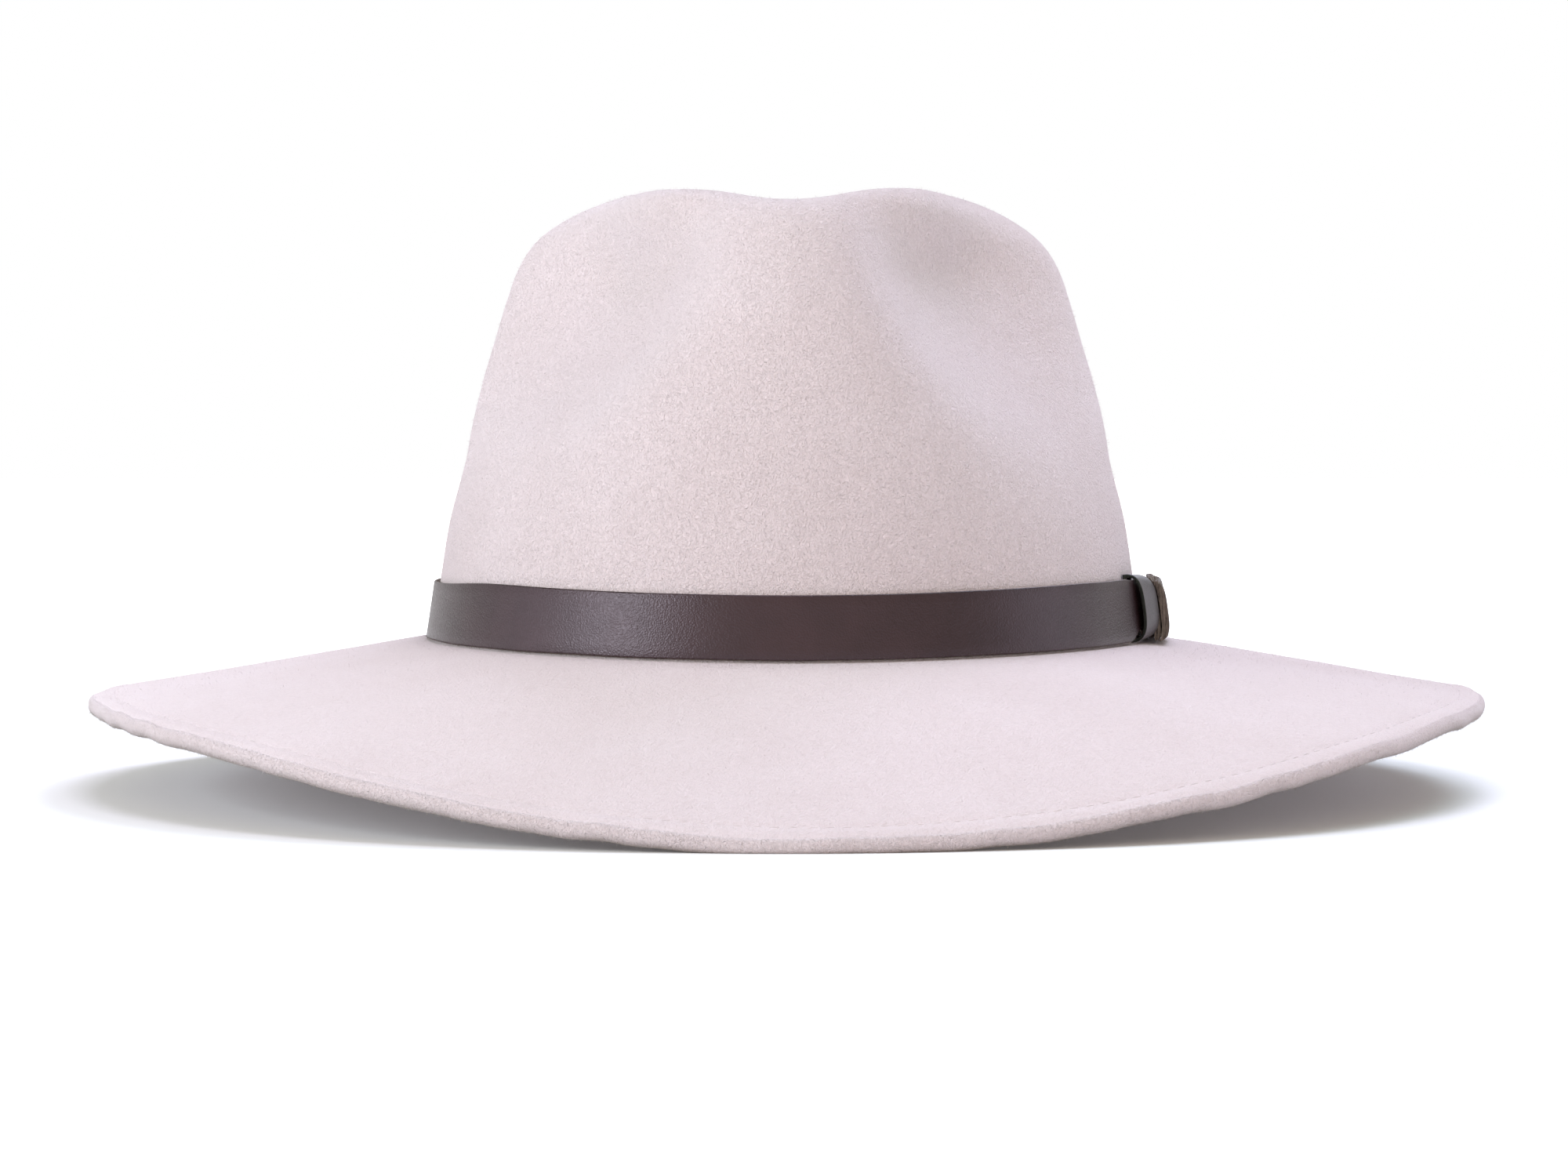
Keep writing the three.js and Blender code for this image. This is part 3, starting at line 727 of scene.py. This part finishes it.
def brim_ring(distance, depth, count):
    """Evenly spaced points round the brim at a distance from the crown, their normals, and
    the ring's length."""
    fine = np.arange(RING_STEPS) / RING_STEPS * 2 * math.pi
    points = np.array([brim_point(fine, distance + d) for d in (-1, 0, 1)])
    points[..., 2] += BREAK_HEIGHT
    line = points[1]
    steps = np.linalg.norm(np.roll(line, -1, axis=0) - line, axis=1)
    reach = np.concatenate([[0], np.cumsum(steps)])
    marks = np.arange(count) / count * reach[-1]

    def at_marks(values):
        closed = np.concatenate([values, values[:1]])
        return np.stack([np.interp(marks, reach, closed[:, k]) for k in range(3)], 1)

    place, facing = at_marks(line), unit(at_marks(row_normals(points)[1]))
    place = place + facing * (swell_at(place) * BRIM_SWELL)[:, None]
    return place - facing * depth, facing, reach[-1]


stitch_pitch = STITCH_LENGTH + STITCH_GAP
stitch_count = int(round(brim_ring(STITCH_DISTANCE, 0.0, 1)[2] / stitch_pitch))
marks_over = int(round(MARKS_PER_STITCH * STITCH_LENGTH / stitch_pitch))
for name, depth, sign in (
    ("brim_stitches_top", GROOVE_DEPTH - THREAD_SINK, 1.0),
    ("brim_stitches_under", 2 * FELT_THICKNESS - GROOVE_DEPTH + THREAD_SINK, -1.0),
):
    marks, facing, _ = brim_ring(STITCH_DISTANCE, depth, MARKS_PER_STITCH * stitch_count)
    starts, ends, ups = (
        grid[::MARKS_PER_STITCH] for grid in (marks, np.roll(marks, -marks_over, axis=0), facing)
    )
    verts, quads = stitch_mesh(starts, ends, ups * sign)
    verts[:, 2] = np.maximum(verts[:, 2], THREAD_SINK)
    stitches = make_object(name, verts, quads, [THREAD])
    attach(stitches, "root")


# Fuzz: loose wool fibres that stand a little off the felt.

FUZZ_WIDTH, FIBRE_ROOT, FIBRE_BEND = 0.055, 0.08, 0.55
rng = np.random.default_rng(SEED)


def scatter_on_rows(rows, count):
    """Random points on a grid of rows, spread evenly by area, with their normals."""
    a, b = rows[:-1], rows[1:]
    a2, b2 = np.roll(a, -1, axis=1), np.roll(b, -1, axis=1)
    cross = np.cross(b2 - a, a2 - b).reshape(-1, 3)
    area = np.linalg.norm(cross, axis=-1) / 2
    picks = rng.choice(len(area), size=count, p=area / area.sum())
    u, v = rng.random(count)[:, None], rng.random(count)[:, None]
    a, b, b2, a2 = (grid.reshape(-1, 3)[picks] for grid in (a, b, b2, a2))
    points = (a * (1 - u) + b * u) * (1 - v) + (b2 * u + a2 * (1 - u)) * v
    return points, unit(cross[picks])


def fibre_object(name, points, facing, lengths, width, lean, material, heading=None):
    """Thin bent blades, three triangles each, rooted just under a surface. They lean at
    random angles over it between the two given, any way round or towards a heading."""
    count = len(points)
    if heading is None:
        flat = unit(np.cross(facing, unit(rng.normal(size=(count, 3)))))
    else:
        flat = unit(heading - facing * (heading * facing).sum(-1, keepdims=True))
    rise = rng.uniform(*lean, count)[:, None]
    rising = flat * np.cos(rise) + facing * np.sin(rise)
    side = unit(np.cross(rising, facing)) * width / 2
    root = points - facing * FIBRE_ROOT
    curl = flat * rng.uniform(-0.2, 0.2, count)[:, None]
    curl += facing * rng.uniform(-0.25, 0.1, count)[:, None]
    middle = root + rising * (lengths * FIBRE_BEND)[:, None]
    tip = middle + unit(rising + curl) * (lengths * (1 - FIBRE_BEND))[:, None]
    blades = np.stack([root - side, root + side, middle + side * 0.8, middle - side * 0.8, tip], 1)
    blades[..., 2] = np.maximum(blades[..., 2], 0.0)
    base = (np.arange(count) * 5)[:, None]
    faces = (base + [0, 1, 2, 3]).tolist() + (base + [3, 2, 4]).tolist()
    return make_object(name, blades.reshape(-1, 3), faces, [material], shaded_smooth=False)


def add_fuzz(name, rows, count, length, lean, material):
    points, facing = scatter_on_rows(rows, count)
    lengths = rng.uniform(*length, count)
    obj = fibre_object(name, points, facing, lengths, FUZZ_WIDTH, lean, material)
    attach(obj, "root")


crown_skin = grooved[crown_level > WALL_SHARE]
brim_skin = np.concatenate([grooved[along_brim >= 1], fold[:FOLD_TURN + 1]])
add_fuzz("crown_fuzz", crown_skin, 42000, (0.5, 1.5), (0.15, 0.75), FUZZ)
add_fuzz("brim_fuzz", brim_skin, 38000, (0.5, 1.4), (0.15, 0.7), FUZZ)
# The fibres on the fold's lower half are darker: painted shade.
add_fuzz("edge_fuzz", fold[FOLD_TURN:], 17000, (0.35, 0.9), (0.2, 1.1), EDGE_SHADE_FUZZ)


# Leather strips: one loft of rounded cross-sections each.

OUTER_RADIUS, INNER_RADIUS, CORNER_STEPS = 0.35, 0.12, 3
BUNDLE_ROUND, BUNDLE_END, BUNDLE_FULLEST, BUNDLE_THINNEST = 3.4, 0.985, 1.22, 0.3


def strip_section(low, high, face_rows):
    """Outline of a strip's cross-section as rows of (off, up). Its corners are rounded, and
    its broad faces are split into face_rows bands."""
    half = LEATHER_THICKNESS / 2
    corners = []
    for off, up, start, radius in (
        (half - OUTER_RADIUS, low + OUTER_RADIUS, -90, OUTER_RADIUS),
        (half - OUTER_RADIUS, high - OUTER_RADIUS, 0, OUTER_RADIUS),
        (INNER_RADIUS - half, high - INNER_RADIUS, 90, INNER_RADIUS),
        (INNER_RADIUS - half, low + INNER_RADIUS, 180, INNER_RADIUS),
    ):
        a = np.radians(start + np.linspace(0, 90, CORNER_STEPS + 1))
        corners.append(np.stack([off + radius * np.cos(a), up + radius * np.sin(a)], 1))
    outer, inner = (
        np.linspace(corners[k][-1], corners[k + 1][0], face_rows + 1)[1:-1] for k in (0, 2)
    )
    return np.concatenate([corners[0], outer, corners[1], corners[2], inner, corners[3]])


def bundled(offs, up, station):
    """Layers squeezed together towards their long edges, as where a loop grips them."""
    middle = (station["low"] + station["high"]) / 2
    share = np.abs(up - middle) / (station["high"] - station["low"]) * 2
    fullness = (1 - (BUNDLE_END * np.clip(share, 0, 1)) ** BUNDLE_ROUND) ** (1 / BUNDLE_ROUND)
    full = 1 - station["grip"] * (1 - BUNDLE_FULLEST * np.maximum(fullness, BUNDLE_THINNEST))
    return station["near"] + (offs - station["near"]) * full


def loft_strip(name, stations, face_rows=6, frayed_to=-math.inf):
    """A strip through stations {place, middle, low, high, turned}. Its long edges and ends,
    and all of it before frayed_to, are shown as cut."""
    sections = []
    for station in stations:
        thick, up = strip_section(station["low"], station["high"], face_rows).T
        places = station["place"] + thick * math.sin(station["turned"])
        offs = station["middle"] + thick * math.cos(station["turned"])
        if "near" in station:
            offs = bundled(offs, up, station)
        sections.append(beside_wall(places, offs, up))
    sections = np.array(sections)
    rows, columns = sections.shape[:2]
    # 1 for each face round the section that is part of a cut edge.
    corner, split = CORNER_STEPS + 1, face_rows - 1
    cut = [1] + [0] * (2 * corner - 2 + split) + [1] * (corner + 1) + [0] * split + [1] * corner
    row_place = np.repeat([station["place"] for station in stations[:-1]], columns)
    face_materials = np.where(row_place < frayed_to, 1, np.tile(cut, rows - 1)).tolist() + [1, 1]
    faces = grid_faces(rows, columns)[:, ::-1].tolist()
    faces.append(list(range(columns)))
    faces.append([(rows - 1) * columns + k for k in range(columns)][::-1])
    shading = [True] * (len(faces) - 2) + [False, False]
    obj = make_object(
        name, sections.reshape(-1, 3), faces, [LEATHER, CUT_EDGE], face_materials, shading)
    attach(obj, "root")
    return obj


def wobble(place, amount, length, offset):
    """A small hand-cut waver along a strip."""
    return amount * perlin(stack(place, 0.0, offset), length, offset)


BAND_STEP, BRIM_REST, SIDE_DROP, FELT_TOUCH = 1.6, 0.35, 1.4, 0.04
LAP_MIDDLE, SNUG_FROM, SNUG_REACH = 14.0, 42.0, 30.0


def settle(place):
    """How far the band's soft lower edge sits down into the felt, away from the keeper."""
    return (band_seat(place) - BRIM_REST) * (1 - narrowing(place))


def side_drop(place):
    """How much lower the band's upper edge runs at the wearer's sides."""
    side = smooth((np.abs(np.sin(turn_at(place))) - 0.8) / 0.2)
    return SIDE_DROP * side * (1 - narrowing(place / 4))


def snug(place):
    """How much closer to the felt the band is pulled, away from the lap and the keeper."""
    away = np.abs(wrapped(place - LAP_MIDDLE)) - SNUG_FROM
    return (SEAT_GAP - FELT_TOUCH) * smooth(away / SNUG_REACH)


band_end = LAP_INSIDE_KEEPER - AROUND
climb_end = LAP_LENGTH + LAP_CLIMB - AROUND
band_places = np.linspace(LAP_LENGTH, band_end, int((LAP_LENGTH - band_end) / BAND_STEP))
low_waver = wobble(band_places, 0.12, 17.0, 2.3)
high_waver = wobble(band_places, 0.12, 21.0, 5.9)
climbs = smooth((climb_end - band_places) / LAP_CLIMB) * LAYER_PITCH
middles = SEAT_GAP + LEATHER_THICKNESS / 2 + bulge(band_places) + climbs - snug(band_places)
lows = band_low(band_places) + low_waver - settle(band_places)
highs = band_high(band_places) + high_waver - side_drop(band_places)
band = loft_strip("leather_band", [
    {"place": place, "middle": middle, "low": low, "high": high, "turned": 0.0}
    for place, middle, low, high in zip(band_places, middles, lows, highs)
])
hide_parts("hat_band")

# The tab: a strip folded back on itself, its cut ends towards the keeper.
TAB_STEPS, TURN_STEPS, TAB_FACE_ROWS, FRAY_LENGTH = 18, 12, 18, 3.0
TAPER_SHOWN, GRIP_EASE, GRIP_REACH = 0.4, 0.75, 18.0
tab_front = KEEPER_WIDTH / 2 + SEAT_GAP
fold_place = tab_front + TAB_LENGTH - LAYER_PITCH
lap_middle = SEAT_GAP + LEATHER_THICKNESS / 2 + LAYER_PITCH
wall_lean = float(wall_frame(np.array(math.radians(KEEPER_TURN)))[3][..., 2])


def tab_station(place, middle, turned):
    taper = TAB_TAPER * TAPER_SHOWN * (1 + math.cos(turned)) / 2
    seat = float(band_seat(place))
    return {
        "place": place, "middle": middle, "turned": turned,
        "low": seat - TAB_OVERHANG - middle * wall_lean,
        "high": seat + BAND_HEIGHT + TAB_CREST - middle * wall_lean - taper,
        "near": lap_middle + LEATHER_THICKNESS / 2 + float(bulge(place)),
        "grip": 1 - GRIP_EASE * float(smooth((place - tab_front) / GRIP_REACH)),
    }


def tab_layer(layer, turned):
    """Stations of one of the tab's two layers, from its cut end to the fold."""
    return [
        tab_station(place, lap_middle + float(bulge(place)) + layer * LAYER_PITCH, turned)
        for place in np.linspace(tab_front, fold_place, TAB_STEPS, endpoint=False)
    ]


fold_radius = LAYER_PITCH / 2
fold_middle = lap_middle + float(bulge(fold_place)) + 1.5 * LAYER_PITCH
tab_turn = [
    tab_station(
        fold_place + fold_radius * math.sin(turned), fold_middle + fold_radius * math.cos(turned),
        turned,
    )
    for turned in np.linspace(math.pi, 0, TURN_STEPS + 1)
]
tab_stations = tab_layer(2, 0.0) + tab_turn[::-1] + tab_layer(1, math.pi)[::-1]
tab = loft_strip("folded_tab", tab_stations, TAB_FACE_ROWS, tab_front + FRAY_LENGTH)
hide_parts("band_tab")


# The keeper: a closed loop of thin leather that stands well off the band.

LOOP_BOW, LOOP_DROP, LOOP_FRONT_RISE = KEEPER_BOW + 0.5, 0.4, 0.35
LOOP_STEPS, LOOP_BACK_STEPS, LOOP_SQUARENESS = 48, 9, 2 / 3

# Across the loop: share of its width, and how far the rim is rounded off there.
RIM_PROFILE = (
    (-0.5, 0.12), (-0.47, 0.03), (-0.42, 0.0), (-0.2, 0.0), (0.0, 0.0), (0.2, 0.0), (0.42, 0.0),
    (0.47, 0.03), (0.5, 0.12),
)


def keeper_outline(place, inset):
    over_lap = float(smooth((place + KEEPER_WIDTH / 2) / KEEPER_WIDTH)) * LAYER_PITCH
    band_outer = SEAT_GAP + float(bulge(place)) + LEATHER_THICKNESS
    near = SEAT_GAP + inset
    far = band_outer + over_lap + LOOP_BOW + KEEPER_THICKNESS - inset
    middle = float(band_low(place) + band_high(place)) / 2 - LOOP_DROP
    half = float(band_high(place)) - middle + KEEPER_SLACK + KEEPER_THICKNESS - inset
    half += LOOP_FRONT_RISE * float(smooth((KEEPER_WIDTH / 2 - place) / KEEPER_WIDTH))
    angle = np.linspace(-math.pi / 2, math.pi / 2, LOOP_STEPS + 1)
    off = near + (far - near) * np.abs(np.cos(angle)) ** LOOP_SQUARENESS
    off[0] = off[-1] = near
    up = middle + half * np.sign(angle) * np.abs(np.sin(angle)) ** LOOP_SQUARENESS
    back = np.linspace(1, 0, LOOP_BACK_STEPS + 1)[1:-1]
    off = np.concatenate([off, np.full(len(back), near)])
    up = np.concatenate([up, middle - half + 2 * half * back])
    return beside_wall(np.full(len(off), place), off, up)


loops = np.array([keeper_outline(KEEPER_WIDTH * share, inset) for share, inset in RIM_PROFILE] + [
    keeper_outline(KEEPER_WIDTH * share, KEEPER_THICKNESS - 0.4 * inset)
    for share, inset in RIM_PROFILE[::-1]
])
rows, columns = loops.shape[:2]
rim_faces = np.repeat(np.arange(rows) % len(RIM_PROFILE) == len(RIM_PROFILE) - 1, columns)
keeper = make_object(
    "keeper_strap", loops.reshape(-1, 3),
    grid_faces(rows, columns, wrap_rows=True)[:, ::-1].tolist(), [LOOP_LEATHER, LOOP_EDGE],
    rim_faces,
)
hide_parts("keeper_loop")
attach(keeper, "root")


# Leather fibres: along the band's two edges, over the tab's cut ends, and a few strays.

EDGE_LEAN, CUT_LEAN, FIBRE_WIDTH = (0.1, 0.9), (0.05, 0.5), 0.06


def add_fibres(name, points, facing, lengths, width, lean, heading=None):
    obj = fibre_object(name, points, facing, lengths, width, lean, LEATHER_FIBRE, heading)
    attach(obj, "root")


def band_offs(places, thinnest):
    """Random distances off the felt within the band's thickness, from a share of it outwards."""
    within = LEATHER_THICKNESS * rng.uniform(thinnest, 1.0, len(places))
    return SEAT_GAP + within + bulge(places) - snug(places)


count = 9000
places = rng.uniform(climb_end, LAP_LENGTH, count)
offs = band_offs(places, 0.35)
lows = band_low(places) - settle(places) + rng.uniform(0.0, 0.3, count)
_, ups, _, outs = wall_frame(turn_at(places))
add_fibres(
    "band_edge_fibres", beside_wall(places, offs, lows), unit(outs - 0.9 * ups),
    rng.uniform(0.3, 0.75, count), FIBRE_WIDTH, EDGE_LEAN,
)

for name, count, length, width in (
    ("band_top_fibres", 3200, (0.15, 0.4), 0.05), ("stray_fibres", 16, (0.9, 1.7), 0.07),
):
    places = rng.uniform(climb_end, LAP_LENGTH, count)
    highs = band_high(places) - side_drop(places) - 0.05
    roots = beside_wall(places, band_offs(places, 0.5), highs)
    _, ups, _, outs = wall_frame(turn_at(places))
    lengths = rng.uniform(*length, count)
    add_fibres(name, roots, unit(ups + 0.5 * outs), lengths, width, EDGE_LEAN)

count = 900
layer = rng.integers(0, 2, count)
station = tab_station(tab_front, 0.0, 0.0)
heights = rng.uniform(station["low"] + 0.2, station["high"] - 0.2, count)
offs = lap_middle + float(bulge(tab_front)) + LAYER_PITCH * (1 + layer)
offs = offs + LEATHER_THICKNESS * rng.uniform(-0.45, 0.45, count)
fronts = np.full(count, tab_front)
_, ups, along, outs = wall_frame(turn_at(fronts))
lengths = rng.uniform(0.5, 1.3, count)
add_fibres(
    "tab_end_fibres", beside_wall(fronts, bundled(offs, heights, station), heights),
    unit(-along + 0.25 * outs), lengths, FIBRE_WIDTH, CUT_LEAN,
    unit(ups * rng.choice([-1.0, 1.0], count)[:, None] + 0.35 * rng.normal(size=(count, 3))),
)


# Floor, light and camera.

FLOOR_HALF = 6000.0
FLOOR_DIM, FLOOR_BRIGHT = (0.85, 0.85, 0.855), (0.87, 0.87, 0.875)


def floor_material():
    """Matt pale studio floor, lit from below a little away from the hat, as a light table is."""
    material, tree, shader = new_material("pale_floor")
    coords = object_coords(tree)
    color = ramp_node(tree, noise_node(tree, coords, 6), (0.3, FLOOR_DIM), (0.7, FLOOR_BRIGHT))
    tree.links.new(color, shader.inputs["Base Color"])
    shader.inputs["Roughness"].default_value = 0.8
    shader.inputs["Specular IOR Level"].default_value = 0.0
    reach = tree.nodes.new("ShaderNodeVectorMath")
    reach.operation = "LENGTH"
    tree.links.new(coords, reach.inputs[0])
    glow = tree.nodes.new("ShaderNodeMapRange")
    glow.interpolation_type = "SMOOTHSTEP"
    for socket, value in (("From Min", 0.2), ("From Max", 1.0), ("To Min", 0.04), ("To Max", 1.0)):
        glow.inputs[socket].default_value = value
    tree.links.new(reach.outputs["Value"], glow.inputs["Value"])
    shader.inputs["Emission Color"].default_value = (1, 1, 1, 1)
    tree.links.new(glow.outputs["Result"], shader.inputs["Emission Strength"])
    return material


floor_corners = FLOOR_HALF * np.array([(-1, -1, 0), (1, -1, 0), (1, 1, 0), (-1, 1, 0)])
floor = make_object(
    "floor", floor_corners, [[0, 1, 2, 3]], [floor_material()], shaded_smooth=False)

# A dim warm room with a white wall behind the hat. The camera sees white all round.
ROOM_WALLS, ROOM_FRONT = (0.207, 0.216, 0.148), (0.94, 0.78, 0.74)
WHITE_WALL_FROM, WHITE_WALL_TO = 0.58, 0.78
world = bpy.data.worlds.new("studio")
world.use_nodes = True
room = world.node_tree
split = room.nodes.new("ShaderNodeSeparateXYZ")
direction = room.nodes.new("ShaderNodeTexCoord").outputs["Generated"]
room.links.new(direction, split.inputs["Vector"])
to_front = math_node(room, "MULTIPLY", split.outputs["Y"], -1.0)
glow = room.nodes.new("ShaderNodeVectorMath")
glow.operation = "SCALE"
glow.inputs[0].default_value = ROOM_FRONT
room.links.new(math_node(room, "MAXIMUM", to_front, 0.0), glow.inputs["Scale"])
walls = room.nodes.new("ShaderNodeVectorMath")
walls.operation = "ADD"
walls.inputs[1].default_value = ROOM_WALLS
room.links.new(glow.outputs["Vector"], walls.inputs[0])
white_wall = room.nodes.new("ShaderNodeMapRange")
white_wall.interpolation_type = "SMOOTHSTEP"
white_wall.inputs["From Min"].default_value = WHITE_WALL_FROM
white_wall.inputs["From Max"].default_value = WHITE_WALL_TO
room.links.new(split.outputs["Y"], white_wall.inputs["Value"])
seen = room.nodes.new("ShaderNodeLightPath").outputs["Is Camera Ray"]
white = math_node(room, "MAXIMUM", white_wall.outputs["Result"], seen)
background = mix_colors(room, white, walls.outputs["Vector"], WHITE)
room.links.new(background, room.nodes["Background"].inputs["Color"])
bpy.context.scene.world = world
bpy.context.scene.view_settings.view_transform = "Standard"

LIGHT_SIZE, LIGHT_DISTANCE, LIGHT_BASE, LIGHT_AIM = 0.7, 1.5, 0.08, Vector((0, 0, 0.07))

# Each light's azimuth from the front towards the picture's right, elevation, power and colour.
for name, azimuth, elevation, power, color in (
    ("left_softbox", -62, 17, 13.6, (0.83, 0.95, 1.0)),
    ("top_softbox", 0, 85, 9.9, (0.805, 0.80, 1.0)),
    ("right_softbox", 110, 60, 5.2, (0.70, 0.95, 1.0)),
    ("right_strip", 98, 12, 2.6, (0.85, 0.85, 1.0)),
    ("left_strip", -100, 12, 2.1, (0.96, 0.86, 1.0)),
    ("back_right", 150, 50, 11.6, (0.745, 0.77, 1.0)),
):
    light = bpy.data.lights.new(name, "AREA")
    light.shape, light.size, light.size_y = "RECTANGLE", LIGHT_SIZE, LIGHT_SIZE
    light.energy, light.color = power, color
    lamp = bpy.data.objects.new(name, light)
    a, e = math.radians(azimuth), math.radians(elevation)
    lamp.location = LIGHT_DISTANCE * Vector((
        math.sin(a) * math.cos(e), -math.cos(a) * math.cos(e), math.sin(e),
    )) + Vector((0, 0, LIGHT_BASE))
    lamp.rotation_euler = (LIGHT_AIM - lamp.location).to_track_quat("-Z", "Y").to_euler()
    bpy.context.scene.collection.objects.link(lamp)

# The camera's distance in metres, its height over the band in millimetres, and its pitch:
# how far the horizon lies over the picture's middle, over the focal length, both in pixels.
CAMERA_DISTANCE, CAMERA_OVER_BAND, CAMERA_SIDE = 1.05, 44.0, -0.0006
CAMERA_PITCH = math.atan((750 - 543) / 5533)
camera_data = bpy.data.cameras.new("camera")
camera_data.sensor_width = 36.0
camera_data.lens = 99.6
camera = bpy.data.objects.new("camera", camera_data)
band_middle = BREAK_HEIGHT + break_line(0.0) + BAND_LIFT + BAND_HEIGHT / 2
camera.location = (CAMERA_SIDE, -CAMERA_DISTANCE, (band_middle + CAMERA_OVER_BAND) * MM)
camera.rotation_euler = (math.pi / 2 - CAMERA_PITCH, 0, 0)
bpy.context.scene.collection.objects.link(camera)
bpy.context.scene.camera = camera
